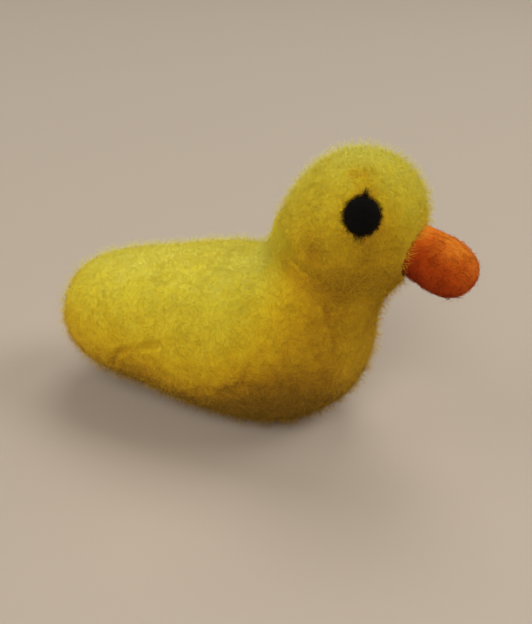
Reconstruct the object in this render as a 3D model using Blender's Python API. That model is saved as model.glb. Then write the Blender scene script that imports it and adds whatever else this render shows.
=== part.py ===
"""A small duck needle-felted from wool, standing on its belly.

The body, the head, the beak and the two eyes are felted one by one and then joined with the needle, so
each is a solid of its own, seated in the next. Units are metres, +Z is up, the beak points along +X, and
the origin is on the surface that the duck stands on, under its middle.
"""

import math

import bmesh
import bpy
from mathutils import Matrix, Vector

# What two pieces that are felted together keep between them
FELT_GAP = 0.0003

# The rump, and the rounded tail end behind it
RUMP_X = -0.0157
RUMP_TOP_Z = 0.0217
RUMP_UNDER_Z = 0.0024
RUMP_WIDTH = 0.0208
TAIL_LENGTH = 0.0124
TAIL_TIP_Z = 0.0118
TAIL_FULLNESS = 2.5
TAIL_SWEEP = math.radians(70)

# The belly, where the body is thickest. It is pressed flat where it rests.
BELLY_X = -0.0024
BELLY_TOP_X = -0.0050
BELLY_TOP_Z = 0.0243
BELLY_WIDTH = 0.0240
FLAT_DEPTH = 0.0005

# The breast, from the nape down to the front of the belly
NAPE_X = 0.0000
NAPE_Z = 0.0247
BREAST_X = 0.0082
BREAST_Z = 0.0008
BREAST_WIDTH = 0.0236

# The chest, from the nape to the front of the body
NAPE_TO_NECK_X = 0.0014
NAPE_TO_NECK_Z = 0.0007
CHEST_X = 0.0158
CHEST_Z = 0.0086
CHEST_WIDTH = 0.0220

# The neck's end, inside the head
NECK_BACK_X = 0.0030
NECK_BACK_Z = 0.0279
NECK_FRONT_X = 0.0168
NECK_FRONT_Z = 0.0230
NECK_WIDTH = 0.0146

# The head, a ball that is narrower and further forward at the top
HEAD_LENGTH = 0.0185
HEAD_WIDTH = 0.0180
HEAD_HEIGHT = 0.01935
HEAD_SUNK = 0.0041
HEAD_FORWARD = 0.0001
HEAD_LEAN = 0.0011
HEAD_EGG = 0.09
HEAD_FULLNESS = 2.18
HEAD_TURN = math.radians(-13.5)

# The beak, a blunt bulb that droops. Its width and height are those at its root, from which it swells.
BEAK_LENGTH = 0.0088
BEAK_WIDTH = 0.0063
BEAK_HEIGHT = 0.0064
BEAK_BLUNTNESS = 3.4
BEAK_SWELL = 0.30
BEAK_SUNK = 0.0014
BEAK_RAISE = 0.0014
BEAK_DROOP = math.radians(19)

# The eyes, two flat lenses high on the sides of the head
EYE_WIDTH = 0.0040
EYE_HEIGHT = 0.0042
EYE_DEPTH = 0.0020
EYE_PROUD = 0.0005
EYE_TURN = math.radians(71)
EYE_RISE = math.radians(27)

# How finely the wool's surface is divided
BODY_SIDES = 40
RINGS_PER_STRETCH = 4
TAIL_RINGS = 7
HEAD_SIDES = 40
HEAD_RINGS = 24
BEAK_SIDES = 28
BEAK_RINGS = 12
EYE_SIDES = 20
EYE_RINGS = 10

YELLOW_WOOL = (0.60, 0.44, 0.02)
ORANGE_WOOL = (0.62, 0.13, 0.012)
BLACK_WOOL = (0.004, 0.0035, 0.003)
WOOL_ROUGHNESS = 0.95


def clear_scene():
    for obj in list(bpy.data.objects):
        bpy.data.objects.remove(obj, do_unlink=True)


def wool(name, colour):
    material = bpy.data.materials.new(name)
    material.use_nodes = True
    shader = material.node_tree.nodes["Principled BSDF"]
    shader.inputs["Base Color"].default_value = (*colour, 1)
    shader.inputs["Roughness"].default_value = WOOL_ROUGHNESS
    shader.inputs["Metallic"].default_value = 0
    return material


def add_piece(name, shape, material=None, parent=None, place=None):
    """Makes an object of a bmesh. With no material it is a cutter, which isn't part of the duck."""
    bmesh.ops.recalc_face_normals(shape, faces=shape.faces)
    mesh = bpy.data.meshes.new(name)
    shape.to_mesh(mesh)
    shape.free()
    mesh.shade_smooth()
    obj = bpy.data.objects.new(name, mesh)
    bpy.context.scene.collection.objects.link(obj)
    obj.parent = parent
    obj.matrix_basis = place or Matrix()
    if material:
        mesh.materials.append(material)
    else:
        obj.hide_render = True
        obj.display_type = "WIRE"
    return obj


def cut(obj, name, cutter):
    """Both shapes are closed. The manifold solver keeps each socket at every size of the head."""
    boolean = obj.modifiers.new(name, "BOOLEAN")
    boolean.operation = "DIFFERENCE"
    boolean.solver = "MANIFOLD"
    boolean.object = cutter


def smooth_value(before, start, end, after, t):
    """The cubic through start and end that leaves each along the line between its neighbours."""
    return 0.5 * (
        2 * start
        + (end - before) * t
        + (2 * before - 5 * start + 4 * end - after) * t**2
        + (3 * start - before - 3 * end + after) * t**3
    )


def body_profile():
    """The body's rings as (back x, back z, front x, front z, width), from the rump to the neck."""
    nape_end_x = NAPE_X + NAPE_TO_NECK_X
    nape_end_z = NAPE_Z + NAPE_TO_NECK_Z
    return [
        (RUMP_X, RUMP_TOP_Z, RUMP_X, RUMP_UNDER_Z, RUMP_WIDTH),
        (BELLY_TOP_X, BELLY_TOP_Z, BELLY_X, -FLAT_DEPTH, BELLY_WIDTH),
        (NAPE_X, NAPE_Z, BREAST_X, BREAST_Z, BREAST_WIDTH),
        (nape_end_x, nape_end_z, CHEST_X, CHEST_Z, CHEST_WIDTH),
        (NECK_BACK_X, NECK_BACK_Z, NECK_FRONT_X, NECK_FRONT_Z, NECK_WIDTH),
    ]


def tail_ring(share):
    """One of the tail's rings, at a share of the sweep along an oval that is still opening at the rump."""

    def oval(angle):
        return 1 - math.cos(angle) ** (2 / TAIL_FULLNESS), math.sin(angle) ** (2 / TAIL_FULLNESS)

    (along, size), (along_end, size_end) = oval(share * TAIL_SWEEP), oval(TAIL_SWEEP)
    along, size = along / along_end, size / size_end
    x = RUMP_X - TAIL_LENGTH * (1 - along)
    middle = TAIL_TIP_Z + ((RUMP_TOP_Z + RUMP_UNDER_Z) / 2 - TAIL_TIP_Z) * size
    half = (RUMP_TOP_Z - RUMP_UNDER_Z) / 2 * size
    return x, middle + half, x, middle - half, RUMP_WIDTH * size


def body_rings():
    """All the body's rings: the tail's, then the profile's with smoothed ones between them."""
    profile = body_profile()
    past_neck = tuple(2 * end - start for start, end in zip(*profile[-2:]))
    points = [tail_ring(0.5), *profile, past_neck]
    rings = [tail_ring(i / TAIL_RINGS) for i in range(1, TAIL_RINGS)]
    for stretch in range(len(profile) - 1):
        for step in range(RINGS_PER_STRETCH):
            t = step / RINGS_PER_STRETCH
            rings.append(tuple(smooth_value(*four, t) for four in zip(*points[stretch : stretch + 4])))
    rings.append(profile[-1])
    return rings


def ring_place(back_x, back_z, front_x, front_z, width):
    """Carries a unit circle, flat on XY, to an upright oval that spans from the back to the front line."""
    up = Vector((back_x - front_x, 0, back_z - front_z)) / 2
    across = Vector((0, -width / 2, 0))
    out = across.cross(up).normalized()
    place = Matrix((across, up, out)).transposed().to_4x4()
    place.translation = ((back_x + front_x) / 2, 0, (back_z + front_z) / 2)
    return place


def body_shape():
    """Rings bridged from the tail to the neck, with a point to close the tail and a lid on the neck."""
    shape = bmesh.new()
    loops = []
    for ring in body_rings():
        made = bmesh.ops.create_circle(shape, segments=BODY_SIDES, radius=1, matrix=ring_place(*ring))
        loops.append(list({edge for vert in made["verts"] for edge in vert.link_edges}))
    for loop, following in zip(loops, loops[1:]):
        bmesh.ops.bridge_loops(shape, edges=loop + following)
    tip = shape.verts.new((RUMP_X - TAIL_LENGTH, 0, TAIL_TIP_Z))
    for edge in loops[0]:
        shape.faces.new((*edge.verts, tip))
    bmesh.ops.contextual_create(shape, geom=loops[-1])
    return shape


def head_middle():
    """The head sits on the neck's end, sunk over it and a little forward of it."""
    back = Vector((NECK_BACK_X, 0, NECK_BACK_Z))
    front = Vector((NECK_FRONT_X, 0, NECK_FRONT_Z))
    forward = (front - back).normalized()
    along = Vector((-forward.z, 0, forward.x))
    return (back + front) / 2 + along * (HEAD_HEIGHT / 2 - HEAD_SUNK) + forward * HEAD_FORWARD


def head_point(turn, rise, grow=0):
    """A point of the head's surface, from how far round and how far up it lies."""
    power = 2 / HEAD_FULLNESS
    up = math.copysign(abs(math.sin(rise)) ** power, rise)
    out = abs(math.cos(rise)) ** power * (1 - HEAD_EGG * up)
    return Vector(
        (
            (HEAD_LENGTH / 2 + grow) * out * math.cos(turn) + HEAD_LEAN * up,
            (HEAD_WIDTH / 2 + grow) * out * math.sin(turn),
            (HEAD_HEIGHT / 2 + grow) * up,
        )
    )


def head_shape(grow=0):
    shape = bmesh.new()
    bmesh.ops.create_uvsphere(shape, u_segments=HEAD_SIDES, v_segments=HEAD_RINGS, radius=1)
    for vert in shape.verts:
        rise = math.asin(max(-1, min(1, vert.co.z)))
        vert.co = head_point(math.atan2(vert.co.y, vert.co.x), rise, grow)
    return shape


def beak_shape(grow=0):
    """A blunt profile spun about the beak's axis, then drawn out to its width and height."""
    shape = bmesh.new()
    length = BEAK_LENGTH + 2 * grow
    profile = []
    for i in range(BEAK_RINGS + 1):
        along = math.sin(math.pi / 2 * i / BEAK_RINGS)
        out = math.sqrt(max(0, 1 - along**BEAK_BLUNTNESS)) * (1 + BEAK_SWELL * along)
        profile.append(shape.verts.new((length * along - grow, 0, out)))
    profile.insert(0, shape.verts.new((-grow, 0, 0)))
    edges = [shape.edges.new(pair) for pair in zip(profile, profile[1:])]
    bmesh.ops.spin(
        shape,
        geom=profile + edges,
        axis=(1, 0, 0),
        cent=(0, 0, 0),
        steps=BEAK_SIDES,
        angle=2 * math.pi,
        use_merge=True,
    )
    bmesh.ops.remove_doubles(shape, verts=shape.verts, dist=1e-6)
    size = Vector((1, BEAK_WIDTH / 2 + grow, BEAK_HEIGHT / 2 + grow))
    bmesh.ops.scale(shape, vec=size, verts=shape.verts)
    return shape


def beak_place():
    """The beak starts under the head's skin, a little above the head's middle, and droops."""
    droop = Matrix.Rotation(BEAK_DROOP, 4, "Y")
    return droop @ Matrix.Translation((HEAD_LENGTH / 2 - BEAK_SUNK, 0, BEAK_RAISE))


def eye_shape(grow=0):
    shape = bmesh.new()
    bmesh.ops.create_uvsphere(shape, u_segments=EYE_SIDES, v_segments=EYE_RINGS, radius=1)
    size = Vector((EYE_WIDTH / 2 + grow, EYE_HEIGHT / 2 + grow, EYE_DEPTH / 2 + grow))
    bmesh.ops.scale(shape, vec=size, verts=shape.verts)
    return shape


def eye_place(side):
    """An eye lies along the head's surface. Side is -1 for the right eye and 1 for the left."""
    step = math.radians(1)
    turn = side * EYE_TURN
    spot = head_point(turn, EYE_RISE)
    round_head = head_point(turn + step, EYE_RISE) - spot
    up_head = head_point(turn, EYE_RISE + step) - spot
    outward = round_head.cross(up_head).normalized()
    across = Vector((0, 0, 1)).cross(outward).normalized()
    upward = outward.cross(across)
    place = Matrix((across, upward, outward)).transposed().to_4x4()
    place.translation = spot + outward * (EYE_PROUD - EYE_DEPTH / 2)
    return place


def underside_shape():
    """A block whose top is the surface that the duck stands on."""
    shape = bmesh.new()
    side = 4 * (TAIL_LENGTH - RUMP_X + CHEST_X)
    place = Matrix.Translation((0, 0, -side / 2)) @ Matrix.Scale(side, 4)
    bmesh.ops.create_cube(shape, size=1, matrix=place)
    return shape


def build():
    yellow = wool("yellow_wool", YELLOW_WOOL)
    orange = wool("orange_wool", ORANGE_WOOL)
    black = wool("black_wool", BLACK_WOOL)

    head_stand = bpy.data.objects.new("head_stand", None)
    head_stand.location = head_middle()
    head_stand.rotation_euler.z = HEAD_TURN
    bpy.context.scene.collection.objects.link(head_stand)

    body = add_piece("body", body_shape(), yellow)
    cut(body, "seat of the head", add_piece("head_seat", head_shape(FELT_GAP), parent=head_stand))
    cut(body, "flat underside", add_piece("underside", underside_shape()))

    head = add_piece("head", head_shape(), yellow, head_stand)
    add_piece("beak", beak_shape(), orange, head_stand, beak_place())
    beak_socket = add_piece("beak_socket", beak_shape(FELT_GAP), None, head_stand, beak_place())
    cut(head, "socket of the beak", beak_socket)

    for name, side in (("eye_right", -1), ("eye_left", 1)):
        place = eye_place(side)
        add_piece(name, eye_shape(), black, head_stand, place)
        socket = add_piece(name + "_socket", eye_shape(FELT_GAP), None, head_stand, place)
        cut(head, "socket of " + name, socket)


clear_scene()
build()
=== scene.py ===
"""Finishes the needle-felted duck: felted surfaces with lumps, folds and needle marks, and wool fibres.

Units are metres, +Z is up, the beak points along +X, and the duck's right side faces the camera.
"""

import math
from collections import namedtuple

import bpy
import numpy as np
from mathutils import Matrix, Vector


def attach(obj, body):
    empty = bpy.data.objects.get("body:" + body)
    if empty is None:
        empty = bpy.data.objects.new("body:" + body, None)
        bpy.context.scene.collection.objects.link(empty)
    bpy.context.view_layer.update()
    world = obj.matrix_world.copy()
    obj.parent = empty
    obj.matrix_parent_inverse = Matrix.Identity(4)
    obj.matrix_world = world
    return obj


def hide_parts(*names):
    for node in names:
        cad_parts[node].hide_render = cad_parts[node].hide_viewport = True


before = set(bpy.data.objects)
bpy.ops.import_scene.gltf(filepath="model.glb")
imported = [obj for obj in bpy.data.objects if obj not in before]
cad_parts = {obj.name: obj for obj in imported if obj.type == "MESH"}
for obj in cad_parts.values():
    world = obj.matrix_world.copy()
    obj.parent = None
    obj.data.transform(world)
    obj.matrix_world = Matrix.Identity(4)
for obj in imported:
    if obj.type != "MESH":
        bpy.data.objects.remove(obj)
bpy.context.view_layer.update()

MM = 0.001

# The felted forms, with the sizes that the solids have
FELT_GAP = 0.3 * MM

RUMP_X, RUMP_TOP_Z, RUMP_UNDER_Z, RUMP_WIDTH = -15.7 * MM, 21.7 * MM, 2.4 * MM, 20.8 * MM
TAIL_LENGTH, TAIL_TIP_Z, TAIL_FULLNESS, TAIL_SWEEP = 12.4 * MM, 11.8 * MM, 2.5, math.radians(70)
BELLY_X, BELLY_TOP_X, BELLY_TOP_Z, BELLY_WIDTH = -2.4 * MM, -5.0 * MM, 24.3 * MM, 24.0 * MM
FLAT_DEPTH = 0.5 * MM
NAPE_X, NAPE_Z = 0.0, 24.7 * MM
BREAST_X, BREAST_Z, BREAST_WIDTH = 8.2 * MM, 0.8 * MM, 23.6 * MM
NAPE_END_X, NAPE_END_Z = NAPE_X + 1.4 * MM, NAPE_Z + 0.7 * MM
CHEST_X, CHEST_Z, CHEST_WIDTH = 15.8 * MM, 8.6 * MM, 22.0 * MM
NECK_BACK_X, NECK_BACK_Z = 3.0 * MM, 27.9 * MM
NECK_FRONT_X, NECK_FRONT_Z, NECK_WIDTH = 16.8 * MM, 23.0 * MM, 14.6 * MM

HEAD_LENGTH, HEAD_WIDTH, HEAD_HEIGHT = 18.5 * MM, 18.0 * MM, 19.35 * MM
HEAD_SUNK, HEAD_FORWARD, HEAD_LEAN = 4.1 * MM, 0.1 * MM, 1.1 * MM
HEAD_EGG, HEAD_FULLNESS, HEAD_TURN = 0.09, 2.18, math.radians(-13.5)

BEAK_LENGTH, BEAK_WIDTH, BEAK_HEIGHT = 8.8 * MM, 6.3 * MM, 6.4 * MM
BEAK_BLUNTNESS, BEAK_SWELL = 3.4, 0.30
BEAK_SUNK, BEAK_RAISE, BEAK_DROOP = 1.4 * MM, 1.4 * MM, math.radians(19)

EYE_WIDTH, EYE_HEIGHT, EYE_DEPTH, EYE_PROUD = 4.0 * MM, 4.2 * MM, 2.0 * MM, 0.5 * MM
EYE_TURN, EYE_RISE = math.radians(71), math.radians(27)

# The closely felted skin lies this far under the loose wool that makes the outline, but not where the two
# yellow pieces meet. There the body's wool is drawn up over the head's lower edge, close to it.
FELT_INSET, HEAD_INSET = 0.25 * MM, 0.38 * MM
COLLAR_RISE, COLLAR_WIDTH, COLLAR_GAP = 1.6 * MM, 0.9 * MM, 0.15 * MM

# Folds in the right flank: the points each runs through, and its depth
FLANK_FOLDS = (
    (((-10.7, -10.9, 14.6), (-13.8, -10.7, 13.2), (-16.9, -10.1, 11.5), (-18.1, -9.3, 8.9)), 0.30 * MM),
    (((-7.5, -10.9, 6.9), (-4.2, -11.6, 9.0), (-1.7, -11.8, 9.4), (0.7, -12.0, 11.3)), 0.12 * MM),
    (((0.7, -12.0, 11.3), (1.8, -11.6, 15.1), (3.2, -11.2, 16.4)), 0.10 * MM),
    (((10.2, -8.2, 22.5), (11.0, -8.6, 21.1), (11.7, -8.9, 19.2), (12.3, -9.0, 16.8)), 0.07 * MM),
)
FOLD_WIDTH = 0.45 * MM

# Patches of painted shade, and one paler patch on the flank: the middle in millimetres, the size, and the
# change of tone
BODY_PATCHES = (
    # Painted shade under the large fold
    ((-13.0, -10.6, 9.6), 2.4 * MM, -0.10),  # amber under the large fold
    ((-6.5, -11.5, 14.0), 6.0 * MM, 0.06),  # pale flank
    # Painted shade on the side of the breast below the head, and low on the belly's side
    ((9.5, -10.5, 17.5), 4.5 * MM, -0.09),  # side of the breast
    ((1.5, -12.0, 10.0), 4.0 * MM, -0.12),  # side of the belly
)
# Painted light by the nape, and painted shade on the cheek
NAPE_LIGHT_PATCH = ((3.3, -3.5, 27.5), 3.0 * MM, 0.25)
CHEEK_SHADE = ((15.4, -8.0, 31.6), 3.6 * MM, -0.20)

# A faint dash of darker wool on the head over the right eye
DASH = ((11.2, -4.5, 39.0), (13.1, -4.3, 39.3))
DASH_WIDTH = 0.6 * MM

# How far the wool's tone lies from plain yellow in each place: painted shade near the ground, on the chest
# below the head, low on the belly, in the folds, at the seam, under the chin and low on the head's front;
# painted light on the forehead and at the nape; and darker wool round the eyes and in the dash. Tones run
# from 0 at the darkest to 1 at the palest, and a fold's is for each millimetre of its depth.
GROUND_SHADE, CHEST_SHADE, BELLY_SHADE, FOLD_SHADE = -0.26, -0.22, -0.17, -0.9
SEAM_SHADE, CHIN_SHADE, LOWER_HEAD_SHADE, FOREHEAD_LIGHT, NAPE_LIGHT = -0.10, -0.14, -0.06, 0.10, 0.12
EYE_EDGE_TONE, EYE_RIM_TONE, BROW_TONE, DASH_TONE = -0.34, -0.10, -0.30, -0.60
DARKEST_HEAD_TONE = 0.2

# How finely each felted surface is divided: rows from end to end, and points round each row
BODY_GRID = (156, 236)
HEAD_GRID = (114, 166)
BEAK_GRID = (50, 76)
EYE_GRID = (30, 54)
BEAK_ROOT_ROWS = 8
TAIL_RINGS, STRETCH_RINGS, LID_RINGS = 200, 60, 30

# Wool fibres, as real ones or thin locks of them: their width and that of the fuzz, how near the ground they
# come, the furthest that a loose one stands out, their spread of tone, and each one's strip of the map
FIBRE_WIDTH = 0.04 * MM
FUZZ_WIDTH = 0.7 * FIBRE_WIDTH
FIBRE_FLOOR = 0.04 * MM
LONGEST_REACH = 1.7 * MM
TONE_SPREAD = 0.06
FIBRE_STRIP = 0.006

# How many fibres each piece has: two coats of matted ones, loose ones and short ones on the yellow pieces
BODY_WOOL = (9000, 9000, 27000, 26000)
HEAD_WOOL = (3500, 3500, 13000, 11000)
NECK_WOOL = 4600
BEAK_LYING, BEAK_STANDING = 1000, 1200
EYE_RIM_WOOL, EYE_SPIKE_WOOL = 560, 30

# The head's wool ends this far along the beak, and keeps this far from the eyes, as a share of their size
BEAK_EDGE = 1.6 * MM
EYE_MARGIN = 1.15

# The wool's colours from the darkest, which the painted shade reaches, to the palest loose fibres
YELLOW_WOOL = (
    (0.00, (0.29, 0.140, 0.006)),
    (0.12, (0.52, 0.252, 0.008)),
    (0.27, (0.78, 0.460, 0.012)),
    (0.50, (0.905, 0.640, 0.018)),
    (0.75, (0.945, 0.800, 0.050)),
    (1.00, (0.970, 0.925, 0.185)),
)
ORANGE_WOOL = (
    (0.00, (0.32, 0.026, 0.002)),
    (0.30, (0.56, 0.070, 0.004)),
    (0.55, (0.76, 0.150, 0.008)),
    (0.80, (0.90, 0.290, 0.020)),
    (1.00, (0.94, 0.400, 0.040)),
)
BLACK_WOOL = (
    (0.00, (0.0009, 0.0008, 0.0005)),
    (0.60, (0.0027, 0.0023, 0.0014)),
    (1.00, (0.0405, 0.0225, 0.0036)),
)
YELLOW_SHEEN = (1.0, 0.85, 0.25, 1)
ORANGE_SHEEN = (1.0, 0.45, 0.12, 1)
BLACK_SHEEN = (0.3, 0.2, 0.1, 1)
WOOL_GLOSS = 0.15

chance = np.random.default_rng(11)


# Numbers on whole arrays


def unit(vectors):
    """The same directions at a length of 1."""
    return vectors / np.maximum(np.linalg.norm(vectors, axis=-1, keepdims=True), 1e-12)


def dot(a, b):
    """The dot product of each pair of vectors."""
    return (a * b).sum(-1)


def ease(value, low, high):
    """0 below low, 1 above high, and 3t^2 - 2t^3 between them."""
    t = np.clip((value - low) / (high - low), 0, 1)
    return t * t * (3 - 2 * t)


def around(first, second, angle):
    """The direction at an angle from first towards second, which is at right angles to it."""
    return first * np.cos(angle)[:, None] + second * np.sin(angle)[:, None]


def bump(distance, width):
    """A bell: 1 at no distance and exp(-1) at one width."""
    return np.exp(-((distance / width) ** 2))


def patch(points, middle, size, change):
    """A patch's change of tone at the points: a bell round its middle, which is in millimetres."""
    return change * bump(np.linalg.norm(points - np.array(middle) * MM, axis=-1), size)


def to_line(points, corners):
    """How far each point lies from a line through corners in millimetres."""
    corners = np.array(corners) * MM
    nearest = np.inf
    for start, end in zip(corners[:-1], corners[1:]):
        stretch = end - start
        share = np.clip((points - start) @ stretch / (stretch @ stretch), 0, 1)
        away = points - start - share[..., None] * stretch
        nearest = np.minimum(nearest, np.linalg.norm(away, axis=-1))
    return nearest


LATTICE = 256
LATTICE_SHIFT = 17.3
NOISE_GAIN = 1.7
SLOPES = unit(chance.normal(size=(LATTICE, 3)))
SHUFFLE = chance.permutation(LATTICE)


def lumps(points, size, pattern):
    """Smooth noise of about -1 to 1, with lumps of the given size. Each pattern number gives its own lumps.

    Each corner of a cubic lattice has a random slope. A point takes the rise of the eight slopes around it,
    weighted by 6t^5 - 15t^4 + 10t^3 along each axis of its cell.
    """
    place = points / size + pattern * LATTICE_SHIFT
    corner_0 = np.floor(place).astype(int)
    inside = place - corner_0
    weight = inside**3 * (inside * (inside * 6 - 15) + 10)
    total = 0
    for corner in np.ndindex(2, 2, 2):
        x, y, z = np.moveaxis((corner_0 + corner) % LATTICE, -1, 0)
        pick = SHUFFLE[(SHUFFLE[(SHUFFLE[x] + y) % LATTICE] + z) % LATTICE]
        share = np.where(corner, weight, 1 - weight).prod(-1)
        total = total + share * dot(SLOPES[pick], inside - corner)
    return total * NOISE_GAIN


def tufts(points, size, pattern):
    """Rounded tufts with narrow dips between them: 1 - 2|noise| on two sizes."""
    large = 1 - 2 * np.abs(lumps(points, size, pattern))
    small = 1 - 2 * np.abs(lumps(points, size / 2.1, pattern + 3))
    return 0.65 * large + 0.35 * small


# The felted forms as grids of points


class Skin:
    """A closed surface as points[row, side]. The first and last rows are single points, its poles."""

    def __init__(self, points):
        self.points = points
        self.rows, self.sides = points.shape[:2]
        self.along = np.gradient(points, axis=0)
        self.around = (np.roll(points, -1, axis=1) - np.roll(points, 1, axis=1)) / 2
        normals = unit(np.cross(self.along, self.around))
        normals[0] = unit(normals[1].mean(0))
        normals[-1] = unit(normals[-2].mean(0))
        middle = points.mean((0, 1))
        if dot(normals, points - middle).mean() < 0:
            normals = -normals
        self.normals = normals

    def at(self, field, row, side):
        """A field's value between the grid's points, weighted from the four around it."""
        row = np.clip(row, 0, self.rows - 1.001)
        i, j = np.floor(row).astype(int), np.floor(side).astype(int)
        u, v = (row - i)[..., None], (side - j)[..., None]
        j, k = j % self.sides, (j + 1) % self.sides
        return (1 - u) * ((1 - v) * field[i, j] + v * field[i, k]) + u * (
            (1 - v) * field[i + 1, j] + v * field[i + 1, k]
        )

    def raised(self, height):
        """The same surface with each point moved out along its normal. A pole takes its row's mean height."""
        height = height.copy()
        height[0], height[-1] = height[0].mean(), height[-1].mean()
        return Skin(self.points + self.normals * height[..., None])

    def areas(self):
        """The area that each grid point stands for."""
        return np.linalg.norm(np.cross(self.along, self.around), axis=-1)

    def walk(self, row, side, heading, step):
        """One straight step along the surface: the step's shares of the two grid directions come from
        the 2 by 2 system of their dot products."""
        along, around = self.at(self.along, row, side), self.at(self.around, row, side)
        a, b, c = dot(along, along), dot(along, around), dot(around, around)
        move = heading * np.asarray(step)[..., None]
        p, q = dot(along, move), dot(around, move)
        scale = 1 / np.maximum(a * c - b * b, 1e-18)
        most_rows, most_sides = self.rows / 8, self.sides / 8
        rows = np.clip((c * p - b * q) * scale, -most_rows, most_rows)
        sides = np.clip((a * q - b * p) * scale, -most_sides, most_sides)
        return np.clip(row + rows, 0.5, self.rows - 1.5), side + sides


def smooth_value(before, start, end, after, t):
    """The cubic through start and end that leaves each along the line between its neighbours."""
    return 0.5 * (
        2 * start
        + (end - before) * t
        + (2 * before - 5 * start + 4 * end - after) * t**2
        + (3 * start - before - 3 * end + after) * t**3
    )


def tail_rings(share):
    """The tail's rings as (back x, back z, front x, front z, width), on an oval that still opens at the
    rump: along 1 - cos^p and out sin^p of an angle, with p 2 over the fullness."""

    def oval(angle):
        return 1 - np.cos(angle) ** (2 / TAIL_FULLNESS), np.sin(angle) ** (2 / TAIL_FULLNESS)

    (along, size), (along_end, size_end) = oval(share * TAIL_SWEEP), oval(TAIL_SWEEP)
    along, size = along / along_end, size / size_end
    x = RUMP_X - TAIL_LENGTH * (1 - along)
    middle = TAIL_TIP_Z + ((RUMP_TOP_Z + RUMP_UNDER_Z) / 2 - TAIL_TIP_Z) * size
    half = (RUMP_TOP_Z - RUMP_UNDER_Z) / 2 * size
    return np.stack([x, middle + half, x, middle - half, RUMP_WIDTH * size], -1)


def body_rings():
    """Close-set rings from the tail's tip to the neck's end, then down to a point that closes the neck."""
    profile = np.array(
        [
            (RUMP_X, RUMP_TOP_Z, RUMP_X, RUMP_UNDER_Z, RUMP_WIDTH),
            (BELLY_TOP_X, BELLY_TOP_Z, BELLY_X, -FLAT_DEPTH, BELLY_WIDTH),
            (NAPE_X, NAPE_Z, BREAST_X, BREAST_Z, BREAST_WIDTH),
            (NAPE_END_X, NAPE_END_Z, CHEST_X, CHEST_Z, CHEST_WIDTH),
            (NECK_BACK_X, NECK_BACK_Z, NECK_FRONT_X, NECK_FRONT_Z, NECK_WIDTH),
        ]
    )
    before_rump = tail_rings(np.array([0.5]))[0]
    points = [before_rump, *profile, 2 * profile[-1] - profile[-2]]
    t = np.linspace(0, 1, STRETCH_RINGS, endpoint=False)[:, None]
    stretches = [smooth_value(*points[i : i + 4], t) for i in range(len(profile) - 1)]
    neck = profile[-1]
    neck_middle = (neck[:2] + neck[2:4]) / 2
    lid = (1 - np.linspace(0, 1, LID_RINGS))[:, None]
    closing = neck * lid + np.array([*neck_middle, *neck_middle, 0]) * (1 - lid)
    tail = tail_rings(np.linspace(0, 1, TAIL_RINGS, endpoint=False) ** 2)
    return np.concatenate([tail, *stretches, closing])


def even_rows(rings, rows):
    """Picks rows of equal spacing, measured along the surface: the root of the mean square of the moves of
    the back point, the front point and the side."""
    steps = np.diff(rings, axis=0)
    lengths = np.sqrt((steps[:, :4] ** 2).sum(1) / 2 + (steps[:, 4] / 2) ** 2 / 2) + 1e-9
    travelled = np.concatenate([[0], np.cumsum(lengths)])
    picks = np.linspace(0, travelled[-1], rows)
    return np.stack([np.interp(picks, travelled, column) for column in rings.T], -1)


def body_form():
    """Upright ovals about each ring's middle: middle + up cos(angle) + across sin(angle)."""
    rings = even_rows(body_rings(), BODY_GRID[0])[:, None, :]
    back_x, back_z, front_x, front_z, width = np.moveaxis(rings, -1, 0)
    angle = np.linspace(0, 2 * np.pi, BODY_GRID[1], endpoint=False)
    x = (back_x + front_x) / 2 + (back_x - front_x) / 2 * np.cos(angle)
    y = -width / 2 * np.sin(angle)
    z = (back_z + front_z) / 2 + (back_z - front_z) / 2 * np.cos(angle)
    return Skin(np.stack([x, y + 0 * x, z], -1))


NECK_BACK = np.array((NECK_BACK_X, 0, NECK_BACK_Z))
NECK_FRONT = np.array((NECK_FRONT_X, 0, NECK_FRONT_Z))
NECK_MIDDLE = (NECK_BACK + NECK_FRONT) / 2
NECK_FORWARD = unit(NECK_FRONT - NECK_BACK)
NECK_UP = np.array((-NECK_FORWARD[2], 0, NECK_FORWARD[0]))


def head_place():
    """The head's frame: it sits on the neck's end, sunk over it, a little forward, and turned."""
    middle = NECK_MIDDLE + NECK_UP * (HEAD_HEIGHT / 2 - HEAD_SUNK) + NECK_FORWARD * HEAD_FORWARD
    return np.array(Matrix.Translation(middle) @ Matrix.Rotation(HEAD_TURN, 4, "Z"))


def moved(points, place):
    """Points in a frame's own coordinates, taken to the duck's."""
    return points @ place[:3, :3].T + place[:3, 3]


def moved_back(points, place):
    """Points in the duck's coordinates, taken to a frame's own."""
    return (points - place[:3, 3]) @ np.linalg.inv(place[:3, :3]).T


def head_point(turn, rise):
    """A ball with fuller sides than a sphere, narrower and further forward at the top: up sin^p and out
    cos^p (1 - egg up) of the rise, with p 2 over the fullness."""
    power = 2 / HEAD_FULLNESS
    up = np.sign(rise) * np.abs(np.sin(rise)) ** power
    out = np.abs(np.cos(rise)) ** power * (1 - HEAD_EGG * up)
    return np.stack(
        [
            HEAD_LENGTH / 2 * out * np.cos(turn) + HEAD_LEAN * up,
            HEAD_WIDTH / 2 * out * np.sin(turn),
            HEAD_HEIGHT / 2 * up + 0 * turn,
        ],
        -1,
    )


def head_form():
    """The head's points by how far up they lie, row by row, and how far round."""
    rise = np.linspace(-np.pi / 2, np.pi / 2, HEAD_GRID[0])[:, None]
    turn = np.linspace(0, 2 * np.pi, HEAD_GRID[1], endpoint=False)[None, :]
    return Skin(moved(head_point(turn, rise), HEAD))


def head_cell(turn, rise):
    """The head grid's row and side at a turn and a rise, both in radians."""
    row = (rise / np.pi + 0.5) * (HEAD_GRID[0] - 1)
    return row, turn / (2 * np.pi) * HEAD_GRID[1]


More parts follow.
